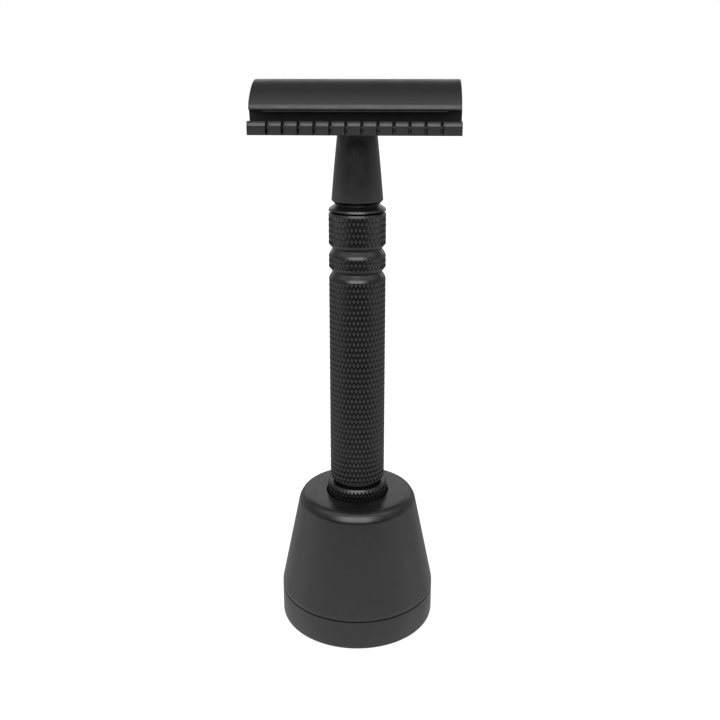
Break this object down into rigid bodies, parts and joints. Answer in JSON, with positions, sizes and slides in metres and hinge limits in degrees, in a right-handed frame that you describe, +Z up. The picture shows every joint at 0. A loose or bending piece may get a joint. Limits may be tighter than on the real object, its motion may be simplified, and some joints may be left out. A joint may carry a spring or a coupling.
{
  "type": "safety razor",
  "caption": "Black double-edge safety razor with a knurled handle and slotted guard, standing in a conical weighted stand; knob drives the cap.",
  "frame": {"origin": "centre of the underside of the stand's foot pad, where the object stands", "axes": "+Z up along the handle; X along the head and the blade; -Y towards the front guard; the object is the same front and back"},
  "size_m": [0.0434, 0.0366, 0.1272],
  "materials": {
    "stand_coating": "matte dark grey powder coat, fine grain",
    "black_metal": "satin black coating, knurled grip",
    "head_metal": "satin black coating, smooth",
    "blade_steel": "bright rolled stainless steel with ground edges",
    "steel": "turned stainless steel",
    "brass": "turned brass",
    "iron": "as cast",
    "washer_plastic": "black acetal",
    "rubber": "matte black rubber"
  },
  "bodies": {
    "stand": {"stand_shell": "stand_coating", "stand_base": "stand_coating", "ballast_weight": "iron", "base_screws": "steel", "foot_pad": "rubber", "socket_pad": "rubber"},
    "handle": {"handle_tube": "black_metal", "upper_bush": "brass", "lower_bush": "brass", "guard_plate": "head_metal", "guard_ring_nut": "steel"},
    "knob": {"knob": "black_metal", "knob_pin": "steel", "draw_rod": "steel", "thrust_washer": "washer_plastic", "spring_washer": "steel"},
    "cap": {"cap": "head_metal", "cap_stud": "steel", "locating_pins": "head_metal"},
    "blade": {"blade": "blade_steel"}
  },
  "joints": [
    {"name": "razor_lift", "type": "slide", "parent": "stand", "child": "handle", "axis": [0, 0, 1], "range_m": [0, 0.04]},
    {"name": "knob_turn", "type": "hinge", "parent": "handle", "child": "knob", "pos_m": [0, 0, 0.0314], "axis": [0, 0, -1], "range_deg": [0, 3240]},
    {"name": "cap_lift", "type": "slide", "parent": "handle", "child": "cap", "axis": [0, 0, 1], "range_m": [0, 0.00722]},
    {"name": "blade_lift", "type": "slide", "parent": "handle", "child": "blade", "axis": [0, 0, 1], "range_m": [0, 0.00362]}
  ],
  "couplings": [
    {"joint": "cap_lift", "follows": "knob_turn", "m_per_rad": 0.00012732},
    {"joint": "blade_lift", "follows": "knob_turn", "m_per_rad": 0.000063662}
  ]
}
